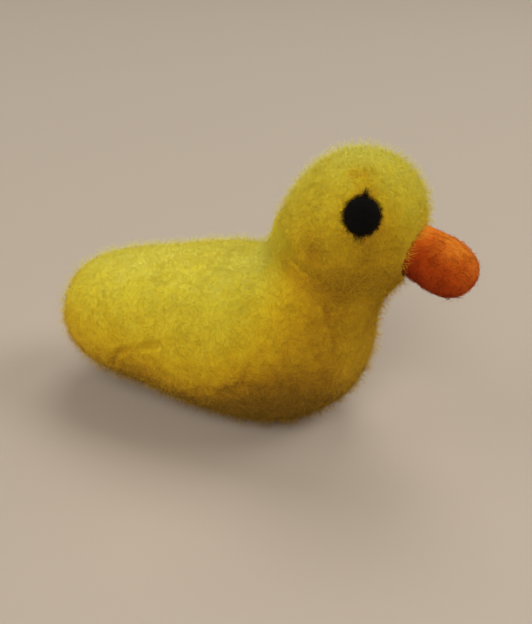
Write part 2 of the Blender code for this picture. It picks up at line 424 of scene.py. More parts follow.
def head_depth(points):
    """How far out a point lies, as a share of the way from the head's middle to its surface: the root of
    up^f + out^f with f the fullness."""
    x, y, z = np.moveaxis(moved_back(points, HEAD), -1, 0)
    up = z / (HEAD_HEIGHT / 2)
    out = np.hypot((x - HEAD_LEAN * up) / (HEAD_LENGTH / 2), y / (HEAD_WIDTH / 2)) / (1 - HEAD_EGG * up)
    return (np.abs(up) ** HEAD_FULLNESS + out**HEAD_FULLNESS) ** (1 / HEAD_FULLNESS)


def beak_out(along):
    """The beak's half width at a share of its length, over that at its root: sqrt(1 - a^b) (1 + s a) with a
    the share, b the bluntness and s the swell."""
    return np.sqrt(np.maximum(0, 1 - along**BEAK_BLUNTNESS)) * (1 + BEAK_SWELL * along)


def beak_reach(points, gap=0):
    """How far along the beak points lie, and how far out from its axis: 1 at its surface, gap away."""
    along, left, up = np.moveaxis(moved_back(points, BEAK), -1, 0)
    out = np.hypot(left / (BEAK_WIDTH / 2 + gap), up / (BEAK_HEIGHT / 2 + gap))
    return along, out / np.maximum(beak_out(np.clip(along / BEAK_LENGTH, 0, 0.99)), 0.01)


def beak_form():
    """A blunt profile spun about the beak's axis and closed with a flat root."""
    along = np.sin(np.pi / 2 * np.linspace(0, 1, BEAK_GRID[0] - BEAK_ROOT_ROWS))
    out = beak_out(along)
    along = np.concatenate([np.zeros(BEAK_ROOT_ROWS), along])[:, None]
    out = np.concatenate([np.linspace(0, 1, BEAK_ROOT_ROWS, endpoint=False), out])[:, None]
    angle = np.linspace(0, 2 * np.pi, BEAK_GRID[1], endpoint=False)[None, :]
    points = np.stack(
        [
            BEAK_LENGTH * along + 0 * angle,
            BEAK_WIDTH / 2 * out * np.sin(angle),
            BEAK_HEIGHT / 2 * out * np.cos(angle),
        ],
        -1,
    )
    return Skin(moved(points, BEAK))


def beak_place():
    """The beak's frame: along it from its root, which is sunk in the head's front, and drooping."""
    root = Matrix.Translation((HEAD_LENGTH / 2 - BEAK_SUNK, 0, BEAK_RAISE))
    return HEAD @ np.array(Matrix.Rotation(BEAK_DROOP, 4, "Y") @ root)


def eye_place(side):
    """The eye's frame: across, upward and outward on the head's surface. Side is -1 right, 1 left."""
    step = math.radians(1)
    turn = side * EYE_TURN
    spot = head_point(np.array(turn), np.array(EYE_RISE))
    round_head = head_point(np.array(turn + step), np.array(EYE_RISE)) - spot
    up_head = head_point(np.array(turn), np.array(EYE_RISE + step)) - spot
    outward = unit(np.cross(round_head, up_head))
    across = unit(np.cross((0, 0, 1), outward))
    place = np.eye(4)
    place[:3, 0], place[:3, 1], place[:3, 2] = across, np.cross(outward, across), outward
    place[:3, 3] = spot + outward * (EYE_PROUD - EYE_DEPTH / 2)
    return HEAD @ place


def eye_form(place):
    """A flat lens: an ellipsoid in the eye's frame."""
    rise = np.linspace(-np.pi / 2, np.pi / 2, EYE_GRID[0])[:, None]
    turn = np.linspace(0, 2 * np.pi, EYE_GRID[1], endpoint=False)[None, :]
    points = np.stack(
        [
            EYE_WIDTH / 2 * np.cos(rise) * np.cos(turn),
            EYE_HEIGHT / 2 * np.cos(rise) * np.sin(turn),
            EYE_DEPTH / 2 * np.sin(rise) + 0 * turn,
        ],
        -1,
    )
    return Skin(moved(points, place))


HEAD = head_place()
BEAK = beak_place()
EYE_SIDES = {"right": -1, "left": 1}
EYES = {name: eye_place(side) for name, side in EYE_SIDES.items()}


def off_head(points):
    """How far points lie off the head's surface, about, and the direction up the head's surface there."""
    outward = unit(points - HEAD[:3, 3])
    upward = unit(NECK_UP - outward * (outward @ NECK_UP)[..., None])
    return (head_depth(points) - 1) * HEAD_WIDTH / 2, upward


def drawn_up(points):
    """The body's collar: points near the head move up it by COLLAR_RISE exp(-|distance| / COLLAR_WIDTH)."""
    distance, upward = off_head(points)
    return points + upward * (COLLAR_RISE * np.exp(-np.abs(distance) / COLLAR_WIDTH))[..., None]


def clear_of_head(points):
    """Moves points that lie in the head out to its seat, along the line from the head's middle."""
    middle = HEAD[:3, 3]
    seat = 1 + 2 * COLLAR_GAP / HEAD_WIDTH
    for _ in range(3):
        depth = head_depth(points) / seat
        points = middle + (points - middle) / np.minimum(np.maximum(depth, 0.05), 1)[..., None]
    return points


def head_surface(points):
    """The points of the head's surface on the lines from its middle through the given points."""
    middle = HEAD[:3, 3]
    return middle + (points - middle) / head_depth(points)[..., None]


def eye_across(local, gap=0):
    """How far out from an eye's middle points in its frame lie: 1 at its rim, gap away."""
    return np.hypot(local[..., 0] / (EYE_WIDTH / 2 + gap), local[..., 1] / (EYE_HEIGHT / 2 + gap))


def clear_of_eye(points, place):
    """Drops points that lie in an eye to the back of its lens, in the direction the eye faces."""
    local = moved_back(points, place)
    depth = (EYE_DEPTH / 2 + FELT_GAP) * np.sqrt(np.maximum(0, 1 - eye_across(local, FELT_GAP) ** 2))
    inside = np.abs(local[..., 2]) < depth
    local[..., 2] = np.where(inside, -depth, local[..., 2])
    return moved(local, place)


def clear_of_beak(points):
    """Drops points that lie in the beak to the bottom of its socket, back along the beak."""
    local = moved_back(points, BEAK)
    along, out = beak_reach(points, FELT_GAP)
    local[..., 0] = np.where((out < 1) & (along > 0), -FELT_GAP, local[..., 0])
    return moved(local, BEAK)


# Meshes


def piece(name, points, faces, uvs, material, tone=None):
    """A mesh object riding on the duck. faces is a list of index arrays, one for each number of corners, and
    uvs holds each face corner's place on the piece's map. tone is kept at the vertices."""
    mesh = bpy.data.meshes.new(name)
    corners = np.concatenate([f.ravel() for f in faces])
    sizes = np.concatenate([np.full(len(f), f.shape[1]) for f in faces])
    starts = np.cumsum(sizes) - sizes
    mesh.vertices.add(len(points))
    mesh.vertices.foreach_set("co", points.astype(np.float32).ravel())
    mesh.loops.add(len(corners))
    mesh.loops.foreach_set("vertex_index", corners.astype(np.int32))
    mesh.polygons.add(len(sizes))
    mesh.polygons.foreach_set("loop_start", starts.astype(np.int32))
    layer = mesh.uv_layers.new(name="OFBake")
    layer.uv.foreach_set("vector", uvs.astype(np.float32))
    if tone is not None:
        attribute = mesh.attributes.new("tone", "FLOAT", "POINT")
        attribute.data.foreach_set("value", tone.astype(np.float32).ravel())
    mesh.update(calc_edges=True)
    mesh.validate()
    mesh.shade_smooth()
    mesh.materials.append(material)
    obj = bpy.data.objects.new(name, mesh)
    bpy.context.scene.collection.objects.link(obj)
    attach(obj, "root")
    return obj


def skin_piece(name, skin, points, tone, material):
    """A skin's mesh: one vertex at each pole, fans round them, and a band of quads between each two rows.
    Its map runs round the sides and from pole to pole. Faces that point inwards are turned round."""

    def flat(field):
        rows_between = field[1:-1].reshape(-1, *field.shape[2:])
        return np.concatenate([field[:1, 0], rows_between, field[-1:, 0]])

    rows, sides = skin.rows, skin.sides
    vertices = flat(points)
    index = 1 + np.arange((rows - 2) * sides).reshape(rows - 2, sides)
    after = np.roll(index, -1, axis=1)
    side = np.arange(sides)
    last = 0 * side + len(vertices) - 1
    left, right = side / sides, (side + 1) / sides
    middle = (left + right) / 2
    step = 1 / (rows - 1)

    quads = np.stack([index[:-1], index[1:], after[1:], after[:-1]], -1).reshape(-1, 4)
    low = np.repeat(np.arange(1, rows - 2) * step, sides)
    high = low + step
    u0, u1 = np.tile(left, rows - 3), np.tile(right, rows - 3)
    quad_uvs = np.stack([u0, low, u0, high, u1, high, u1, low], -1)

    first_fan = np.stack([0 * side, index[0], after[0]], -1)
    bottom, first_row = 0 * left, 0 * left + step
    first_uvs = np.stack([middle, bottom, left, first_row, right, first_row], -1)
    last_fan = np.stack([last, after[-1], index[-1]], -1)
    top, last_row = 0 * left + 1, 0 * left + 1 - step
    last_uvs = np.stack([middle, top, right, last_row, left, last_row], -1)

    faces = [first_fan, last_fan, quads]
    uvs = [first_uvs, last_uvs, quad_uvs]
    a, b, c = vertices[quads[:, 0]], vertices[quads[:, 1]], vertices[quads[:, 3]]
    volume = dot(np.cross(b - a, c - a), a - vertices.mean(0)).sum()
    if volume < 0:
        faces = [f[:, ::-1] for f in faces]
        uvs = [u.reshape(len(u), -1, 2)[:, ::-1] for u in uvs]
    uvs = np.concatenate([u.ravel() for u in uvs])
    return piece(name, vertices, faces, uvs, material, flat(tone))


def fibre_piece(name, paths, width, tone, material):
    """Closed three-sided spindles along paths[fibre, station]: a point at each end and a triangle at each
    station between, which is widest in the middle. Each is a narrow strip of the map, across at its tone
    and along from root to tip."""
    count, stations = paths.shape[:2]
    tangent = unit(np.gradient(paths, axis=1))
    lean = unit(chance.normal(size=(count, 1, 3)))
    u = unit(np.cross(tangent, lean))
    v = np.cross(tangent, u)
    share = np.linspace(0, 1, stations)
    radius = np.asarray(width)[:, None] / 2 * np.sin(np.pi * np.clip(share, 0.06, 0.94)) ** 0.5
    angle = np.arange(3) * 2 * np.pi / 3
    spokes = u[:, :, None] * np.cos(angle)[:, None] + v[:, :, None] * np.sin(angle)[:, None]
    rings = paths[:, 1:-1, None] + radius[:, 1:-1, None, None] * spokes[:, 1:-1]
    points = np.concatenate([paths[:, :1], rings.reshape(count, -1, 3), paths[:, -1:]], axis=1)

    inner = stations - 2
    each = 3 * inner + 2
    corner = np.arange(3)
    following = (corner + 1) % 3
    first_fan = np.stack([0 * corner, 1 + following, 1 + corner], -1)
    last_fan = np.stack([0 * corner + each - 1, each - 4 + corner, each - 4 + following], -1)
    bands = [
        np.stack([ring + corner, ring + following, ring + 3 + following, ring + 3 + corner], -1)
        for ring in range(1, 3 * inner - 2, 3)
    ]

    def on_map(across, station):
        return np.stack([(across - 1.5) / 3 * FIBRE_STRIP, 0 * across + share[station]], -1)

    first_uvs = np.concatenate([on_map(corner + 0.5, 0), on_map(corner + 1, 1), on_map(corner, 1)], -1)
    last_uvs = np.concatenate([on_map(corner + 0.5, -1), on_map(corner, -2), on_map(corner + 1, -2)], -1)
    band_uvs = [
        np.concatenate(
            [on_map(corner, i), on_map(corner + 1, i), on_map(corner + 1, i + 1), on_map(corner, i + 1)], -1
        )
        for i in range(1, inner)
    ]

    first_point = (np.arange(count) * each)[:, None, None]
    toned = FIBRE_STRIP + (1 - 2 * FIBRE_STRIP) * np.clip(tone, 0, 1)
    to_tone = np.stack([toned, 0 * toned], -1)[:, None]
    faces, uvs = [], []
    for one_faces, one_uvs in (([first_fan, last_fan], [first_uvs, last_uvs]), (bands, band_uvs)):
        if one_faces:
            corners = one_faces[0].shape[1]
            faces.append((np.concatenate(one_faces) + first_point).reshape(-1, corners))
            uvs.append((np.concatenate(one_uvs).reshape(1, -1, 2) + to_tone).ravel())
    return piece(name, points.reshape(-1, 3), faces, np.concatenate(uvs), material)


# Materials


class Wire:
    """One output of a material's node. Arithmetic on it adds Math nodes."""

    def __init__(self, felt, socket):
        self.felt, self.socket = felt, socket

    def math(self, operation, *others):
        values = dict(enumerate([self, *others]))
        return self.felt.add("ShaderNodeMath", {"operation": operation}, values).out()

    def __add__(self, other):
        return self.math("ADD", other)

    __radd__ = __add__

    def __sub__(self, other):
        return self.math("SUBTRACT", other)

    def __rsub__(self, other):
        return (self * -1).math("ADD", other)

    def __mul__(self, other):
        return self.math("MULTIPLY", other)

    __rmul__ = __mul__


class Node:
    """A material's node, whose outputs are wires."""

    def __init__(self, felt, node):
        self.felt, self.node = felt, node

    def out(self, key=0):
        return Wire(self.felt, self.node.outputs[key])


class Felt:
    """A wool material: its nodes, and what feeds its shader."""

    def __init__(self, name):
        self.material = bpy.data.materials.new(name)
        self.material.use_nodes = True
        self.tree = self.material.node_tree
        self.shader = self.tree.nodes["Principled BSDF"]

    def feed(self, socket, value):
        """Links a wire to a socket, or sets its value."""
        if isinstance(value, Wire):
            self.tree.links.new(value.socket, socket)
        else:
            socket.default_value = value

    def add(self, kind, settings=None, values=None):
        """Adds a node: first its settings, or a ramp's stops, then the values or links of its sockets."""
        node = self.tree.nodes.new(kind)
        for key, value in (settings or {}).items():
            if key == "stops":
                ramp = node.color_ramp
                while len(ramp.elements) < len(value):
                    ramp.elements.new(0.5)
                for element, (position, colour) in zip(ramp.elements, value):
                    element.position, element.color = position, (*colour, 1)
            else:
                setattr(node, key, value)
        for key, value in (values or {}).items():
            self.feed(node.inputs[key], value)
        return Node(self, node)

    def shade(self, **values):
        """Feeds the shader's sockets, which are named with underscores, and gives the material."""
        for key, value in values.items():
            self.feed(self.shader.inputs[key.replace("_", " ")], value)
        return self.material

    def sheen(self, weight, colour):
        """The soft glow of wool seen edge on, and next to no gloss."""
        self.shade(Sheen_Weight=weight, Sheen_Roughness=0.5, Sheen_Tint=colour, Specular_IOR_Level=WOOL_GLOSS)

    def noise(self, size, detail, roughness=0.55, distortion=0.0):
        """Noise of -0.5 to 0.5 on the duck's own coordinates, with lumps of the given size."""
        place = self.add("ShaderNodeTexCoord").out("Object")
        values = dict(Vector=place, Scale=1 / size, Detail=detail, Roughness=roughness, Distortion=distortion)
        return self.add("ShaderNodeTexNoise", None, values).out(0) - 0.5


def felted(name, stops, sheen, sheen_colour):
    """Closely felted wool: its tone comes from the surface, with mottling and the marks of fine fibres."""
    felt = Felt(name)
    tone = felt.add("ShaderNodeAttribute", {"attribute_name": "tone"}).out("Fac")
    mottling = felt.noise(0.9 * MM, detail=4) * 0.22
    marks = felt.noise(0.22 * MM, detail=2, roughness=0.5, distortion=0.8) * 0.16
    colour = felt.add("ShaderNodeValToRGB", {"stops": stops}, {0: tone + mottling + marks}).out()
    relief = felt.noise(0.35 * MM, detail=5, roughness=0.6, distortion=1.5)
    bumps = {"Height": relief, "Strength": 0.8, "Distance": 0.12 * MM}
    normal = felt.add("ShaderNodeBump", None, bumps).out()
    felt.sheen(sheen, sheen_colour)
    return felt.shade(Base_Color=colour, Normal=normal, Roughness=0.95)


def loose(name, stops, sheen, sheen_colour, paling):
    """Loose fibres: the tone is how far across the map a fibre lies, and it pales towards the tip."""
    felt = Felt(name)
    place = felt.add("ShaderNodeUVMap", {"uv_map": "OFBake"}).out()
    parts = felt.add("ShaderNodeSeparateXYZ", None, {0: place})
    tone = parts.out(0) + (parts.out(1) - 0.4) * paling
    colour = felt.add("ShaderNodeValToRGB", {"stops": stops}, {0: tone}).out()
    felt.sheen(sheen, sheen_colour)
    return felt.shade(Base_Color=colour, Roughness=0.9)


# The felted surfaces' relief and tone


def body_relief(points):
    """Broad lumps left by shaping, tufts, fine pits, and the folds, each a dip between two low lips."""
    relief = (
        0.16 * MM * lumps(points, 7 * MM, 1)
        + 0.07 * MM * tufts(points, 2.4 * MM, 2)
        + 0.04 * MM * tufts(points, 1.0 * MM, 3)
    )
    for corners, depth in FLANK_FOLDS:
        distance = to_line(points, corners)
        lips = bump(distance - 2 * FOLD_WIDTH, FOLD_WIDTH)
        relief += depth * (0.5 * lips - bump(distance, FOLD_WIDTH))
    return relief


def head_relief(points):
    """Broad lumps, tufts and fine pits, a little smaller than the body's."""
    return (
        0.12 * MM * lumps(points, 6 * MM, 4)
        + 0.06 * MM * tufts(points, 2.2 * MM, 5)
        + 0.04 * MM * tufts(points, 0.9 * MM, 6)
    )


def painted_light_and_mottle(points, normals):
    """Painted light and shade: lemon where it faces up, golden at the sides and amber beneath; and the wool's
    random mottling.
    """
    up = normals[..., 2]
    # Painted light where the surface faces up, painted shade where it faces down
    painted_light = 0.42 + 0.42 * up - 0.10 * ease(-up, 0.1, 0.6)
    return painted_light + 0.04 * lumps(points, 5 * MM, 7) + 0.05 * lumps(points, 1.4 * MM, 8)


def body_tone(points, normals):
    """Painted shade also in the folds, near the ground, on the chest below the head and low on the belly's
    sides.
    The last three are products of eases along the duck and up it. The patches add painted shade and a paler
    flank."""
    x, _, z = np.moveaxis(points, -1, 0)
    ground = 1 - ease(z, 1 * MM, 8 * MM)
    chest = ease(x, -3 * MM, 8 * MM) * (1 - 0.35 * ease(x, 11 * MM, 15 * MM))
    chest = chest * (0.5 + 0.5 * ease(z, 4 * MM, 14 * MM)) * (1 - ease(z, 19 * MM, 26 * MM))
    belly = ease(x, -9 * MM, 0) * (1 - 0.6 * ease(x, 5 * MM, 11 * MM)) * (1 - ease(z, 5 * MM, 19 * MM))
    tone = painted_light_and_mottle(points, normals)
    # Painted shade near the ground, on the chest below the head and low on the belly, then the patches and
    # folds
    tone += GROUND_SHADE * ground + CHEST_SHADE * chest + BELLY_SHADE * belly
    for middle, size, change in BODY_PATCHES:
        tone += patch(points, middle, size, change)
    for corners, depth in FLANK_FOLDS:
        tone += FOLD_SHADE * depth / MM * bump(to_line(points, corners), FOLD_WIDTH)
    return tone


def crease_shade(x, to_head):
    """Painted shade by the head's edge, in a narrow and a wide bell: most at the neck's sides, less at the
    throat, and a little painted light at the nape instead."""
    along = -0.1 + 1.1 * ease(x, 2 * MM, 7 * MM) - 0.65 * ease(x, 10 * MM, 15 * MM)
    return -along * (0.12 * bump(to_head, 1.2 * MM) + 0.28 * bump(to_head, 3.6 * MM))


def over_neck(points):
    """How far points lie beyond the neck's end, along the neck."""
    return (points - NECK_MIDDLE) @ NECK_UP


def head_tone(points, normals):
    """Painted shade under the chin, at the seam, low on the front and on the cheek, painted light to the
    front and at the nape, and browner wool round the eyes and in a dash over the right one."""
    over = over_neck(points)
    x = moved_back(points, HEAD)[..., 0]
    front = ease(x, -6 * MM, 3 * MM)
    under = front * (1 - 0.6 * ease(x, 2 * MM, 7 * MM))
    nape = ease(-x, 3 * MM, 8 * MM) * ease(over, 2 * MM, 6 * MM)
    tone = painted_light_and_mottle(points, normals)
    # Painted shade at the seam, under the chin and low on the front; painted light on the forehead and nape
    tone += SEAM_SHADE * under * bump(np.maximum(over, 0), 1.4 * MM)
    tone += CHIN_SHADE * under * (1 - ease(over, 2.2 * MM, 4.4 * MM))
    tone += LOWER_HEAD_SHADE * front * (1 - ease(over, 4 * MM, 9 * MM))
    tone += FOREHEAD_LIGHT * ease(x, 4 * MM, 9 * MM) + NAPE_LIGHT * nape
    tone = np.maximum(tone + patch(points, *NAPE_LIGHT_PATCH), DARKEST_HEAD_TONE)
    tone += patch(points, *CHEEK_SHADE) + DASH_TONE * bump(to_line(points, DASH), DASH_WIDTH)
    for place in EYES.values():
        local = moved_back(points, place)
        rim = np.maximum(eye_reach(local) - 1, 0)
        brow = np.hypot(local[..., 0], local[..., 1] - EYE_HEIGHT / 2 - 0.6 * MM)
        tone += EYE_EDGE_TONE * bump(rim, 0.22) + EYE_RIM_TONE * bump(rim, 0.9)
        tone += BROW_TONE * bump(brow, 1.3 * MM)
    return tone


def eye_reach(local):
    """How far out a point in an eye's frame lies: 1 at its rim, and far off on the head's other side."""
    return eye_across(local) + 10 * (np.abs(local[..., 2]) > 2 * EYE_DEPTH)


def outside_eyes(points, margin=1.0):
    """1 away from the eyes and the beak's root, 0 on them."""
    keep = np.ones(points.shape[:-1])
    for place in EYES.values():
        local = moved_back(points, place)
        keep *= (eye_across(local) > margin) | (np.abs(local[..., 2]) > EYE_DEPTH)
    along, out = beak_reach(points)
    return keep * ((out > margin) | (along < 0) | (along > BEAK_LENGTH))


# Fibres


def scatter(skin, where, count):
    """Random places on a skin, as rows and sides. where weights each grid cell."""
    weight = (skin.areas() * where)[1:-1].ravel()
    cells = chance.choice(len(weight), size=count, p=weight / weight.sum())
    return 1 + cells // skin.sides + chance.random(count), cells % skin.sides + chance.random(count)


def grow(skin, tone, where, length, rises, swirl, spread, curl):
    """Paths of fibres that start at random on a skin and walk over it, and the skin's tone where they start.

    where weights each grid cell. The heading is an angle in the surface that swirls slowly over the skin,
    with a random spread, and it turns by a random curl at each step. rises gives the height over the
    surface at each station, one row for each fibre.
    """
    count = len(length)
    row, side = scatter(skin, where, count)
    start = skin.at(skin.points, row, side)
    normal = unit(skin.at(skin.normals, row, side))
    first = unit(np.cross(normal, skin.at(skin.along, row, side)))
    second = np.cross(normal, first)
    angle = 2 * np.pi * lumps(start, swirl, 9) + chance.normal(size=count) * spread
    paths = follow(skin, row, side, around(first, second, angle), length, rises, curl)
    return paths, skin.at(tone[..., None], row, side)[..., 0]


def follow(skin, row, side, heading, length, rises, curl):
    """Carries fibres over a skin from given starts and headings, one station at a time."""
    count, stations = rises.shape
    turn = chance.normal(size=count) * curl
    path = []
    for station in range(stations):
        normal = unit(skin.at(skin.normals, row, side))
        path.append(skin.at(skin.points, row, side) + normal * rises[:, station, None])
        row, side = skin.walk(row, side, heading, length / (stations - 1))
        normal = unit(skin.at(skin.normals, row, side))
        heading = unit(heading - normal * dot(heading, normal)[:, None])
        bend = turn + chance.normal(size=count) * curl * 0.5
        heading = around(heading, np.cross(normal, heading), bend)
    path = np.stack(path, axis=1)
    path[..., 2] = np.maximum(path[..., 2], FIBRE_FLOOR)
    return path


def lying(count, height, stations):
    """Heights of matted fibres: tucked in at the root, over the felt between, and near it at the tip."""
    share = np.linspace(0, 1, stations)
    arch = np.sin(np.pi * share) * chance.gamma(1.6, height / 1.6, size=(count, 1))
    tip = share**2 * chance.gamma(1.2, height / 1.5, size=(count, 1))
    return arch + tip - 0.03 * MM * (1 - share)


def standing(count, height, stations):
    """Heights of loose fibres: they rise from the felt, and some bend back over."""
    share = np.linspace(0, 1, stations)
    reach = chance.gamma(2.2, height / 2.2, size=(count, 1)).clip(0, LONGEST_REACH)
    over = chance.random((count, 1)) * 0.9
    return reach * (share * (1 + over) - over * share**2.5) - 0.05 * MM * (1 - share)


YELLOW_FELT = felted("yellow felt", YELLOW_WOOL, 0.15, YELLOW_SHEEN)
YELLOW_FIBRES = loose("yellow fibres", YELLOW_WOOL, 0.15, YELLOW_SHEEN, 0.08)
YELLOW_FUZZ = loose("yellow fuzz", YELLOW_WOOL, 0.3, YELLOW_SHEEN, 0.38)
ORANGE_FELT = felted("orange felt", ORANGE_WOOL, 0.06, ORANGE_SHEEN)
ORANGE_FIBRES = loose("orange fibres", ORANGE_WOOL, 0.06, ORANGE_SHEEN, 0.15)
BLACK_FELT = felted("black felt", BLACK_WOOL, 0.02, BLACK_SHEEN)
BLACK_FIBRES = loose("black fibres", BLACK_WOOL, 0.02, BLACK_SHEEN, 0.2)

# A coat of wool: how its fibres rise, their height and number of stations, their shortest and longest length,
# how their headings swirl, spread and curl, their width, how much paler they are, and their material
Coat = namedtuple("Coat", "rise height stations shortest longest swirl spread curl width paler material")
MATTED = Coat(lying, 0.12 * MM, 4, 1.1 * MM, 2.6 * MM, 9 * MM, 1.4, 0.35, FIBRE_WIDTH, 0, YELLOW_FIBRES)
LOOSE = Coat(standing, 0.75 * MM, 3, 0.5 * MM, 1.8 * MM, 5 * MM, 1.6, 0.5, FUZZ_WIDTH, 0.06, YELLOW_FUZZ)
SHORT = Coat(standing, 0.45 * MM, 3, 0.3 * MM, 1.0 * MM, 5 * MM, 1.6, 0.5, FUZZ_WIDTH, 0.04, YELLOW_FUZZ)
YELLOW_COATS = {"matted_wool_1": MATTED, "matted_wool_2": MATTED, "loose_wool": LOOSE, "short_wool": SHORT}


def fibre_width(count, width=FIBRE_WIDTH):
    """Random widths, up to three tenths off the given one."""
    return width * chance.uniform(0.7, 1.3, count)


def yellow_wool(name, skin, tone, where, counts):
    """The coats of a yellow piece, each a piece of its own that stays clear of the eyes and the beak."""
    for (coat_name, coat), count in zip(YELLOW_COATS.items(), counts):
        length = chance.uniform(coat.shortest, coat.longest, count)
        rises = coat.rise(count, coat.height, coat.stations)
        paths, at = grow(skin, tone, where, length, rises, coat.swirl, coat.spread, coat.curl)
        clear = outside_eyes(paths, EYE_MARGIN).min(axis=1) > 0
        fibre_tone = (at + coat.paler + chance.normal(size=count) * TONE_SPREAD)[clear]
        width = fibre_width(count, coat.width)[clear]
        fibre_piece(f"{name}_{coat_name}", paths[clear], width, fibre_tone, coat.material)


# The duck's pieces


def make_body():
    """The body's felt, drawn up over the head's lower edge and kept above the ground, and its wool. Gives
    what the neck's fibres need: its skin, its tone and its distance from the head."""
    form = body_form()
    to_head = np.maximum(off_head(form.points)[0], 0)
    inset = FELT_INSET * ease(to_head, 0, 2 * MM) * ease(form.points[..., 2], 0.3 * MM, 2.5 * MM)
    skin = form.raised(body_relief(form.points) - inset)
    x = skin.points[..., 0]
    tone = body_tone(skin.points, form.normals) + crease_shade(x, to_head)
    points = clear_of_head(drawn_up(skin.points))
    points[..., 2] = np.maximum(points[..., 2], 0)
    obj = skin_piece("body_felt", skin, points, tone, YELLOW_FELT)
    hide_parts("body")
    cover = Skin(points)
    where = (to_head > 0.05 * MM) * (0.15 + 0.85 * ease(points[..., 2], 0.05 * MM, 1.0 * MM))
    where = where * (1 + 0.5 * bump(to_head, 1.5 * MM) * (1 - ease(x, 2 * MM, 8 * MM)))
    yellow_wool("body", cover, tone, where, BODY_WOOL)
    return cover, tone, to_head


def make_head():
    """The head's felt, with seats for the eyes and a socket for the beak, and its wool."""
    form = head_form()
    relief = head_relief(form.points) - HEAD_INSET
    skin = form.raised(relief * ease(over_neck(form.points), 1.5 * MM, 4.5 * MM))
    tone = head_tone(skin.points, form.normals)
    points = clear_of_beak(skin.points)
    for place in EYES.values():
        points = clear_of_eye(points, place)
    obj = skin_piece("head_felt", skin, points, tone, YELLOW_FELT)
    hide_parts("head")
    where = ease(over_neck(skin.points), 0.6 * MM, 1.6 * MM) * outside_eyes(skin.points)
    yellow_wool("head", skin, tone, where, HEAD_WOOL)
    return skin


def make_neck(body_skin, tone, to_head):
    """Fibres felted across the crease, each a quadratic curve from the body's collar to the head above it. At
    the nape they are more, longer and looser."""
    count = NECK_WOOL
    at_nape = 1 - ease(body_skin.points[..., 0], 0, 8 * MM)
    by_crease = bump(to_head, 1.1 * MM * (1 + 0.6 * at_nape))
    row, side = scatter(body_skin, (to_head > 0.05 * MM) * by_crease * (1 + 0.5 * at_nape), count)
    start = body_skin.at(body_skin.points, row, side)
    nape = 1 - ease(start[:, :1], 0, 8 * MM)
    _, upward = off_head(start)
    outward = unit(start - HEAD[:3, 3])
    sideways = np.cross(upward, outward)
    on_head = head_surface(start)
    reach = upward * chance.uniform(0.4, 2.2, (count, 1)) * (1 + 0.6 * nape)
    reach = (reach + sideways * chance.normal(size=(count, 1)) * 0.7) * MM
    end = head_surface(on_head + reach)
    lift = chance.uniform(0.15, 0.6, (count, 1)) * (1 + 1.1 * nape) * MM
    over = on_head + 0.4 * reach + outward * lift
    t = np.linspace(0, 1, 4)[None, :, None]
    paths = (1 - t) ** 2 * start[:, None] + 2 * t * (1 - t) * over[:, None] + t**2 * end[:, None]
    at = body_skin.at(tone[..., None], row, side)[..., 0]
    # The crease's fibres are a little paler: painted light against the crease's shade
    fibre_tone = at + 0.08 + chance.normal(size=count) * TONE_SPREAD
    fibre_piece("neck_wool", paths, fibre_width(count), fibre_tone, YELLOW_FIBRES)


def make_beak():
    """The beak's felt, with painted light on top and at the tip and painted shade beneath and by the head,
    and its close wool.
    """
    form = beak_form()
    relief = 0.10 * MM * tufts(form.points, 1.6 * MM, 12) + 0.04 * MM * tufts(form.points, 0.7 * MM, 13)
    skin = form.raised(relief)
    local = moved_back(skin.points, BEAK)
    along, up = local[..., 0], local[..., 2] / (BEAK_HEIGHT / 2)
    # Painted light on top and at the tip, painted shade beneath and by the head, and random lumps of tone
    tone = 0.25 + 0.2 * up + 0.25 * np.maximum(up, 0) ** 2 + 0.08 * lumps(skin.points, 1.5 * MM, 14)
    tone += 0.15 * ease(along, 6 * MM, 8.5 * MM) - 0.12 * bump(along - BEAK_EDGE, 0.8 * MM)
    obj = skin_piece("beak_felt", skin, skin.points, tone, ORANGE_FELT)
    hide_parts("beak")
    where = (along > BEAK_EDGE).astype(float)
    rises = np.concatenate([lying(BEAK_LYING, 0.08 * MM, 4), standing(BEAK_STANDING, 0.2 * MM, 4)])
    count = len(rises)
    length = chance.uniform(0.7, 2.2, count) * MM
    paths, at = grow(skin, tone, where, length, rises, swirl=6 * MM, spread=1.0, curl=0.4)
    fibre_tone = at + chance.normal(size=count) * 0.10
    fibre_piece("beak_wool", paths, fibre_width(count), fibre_tone, ORANGE_FIBRES)


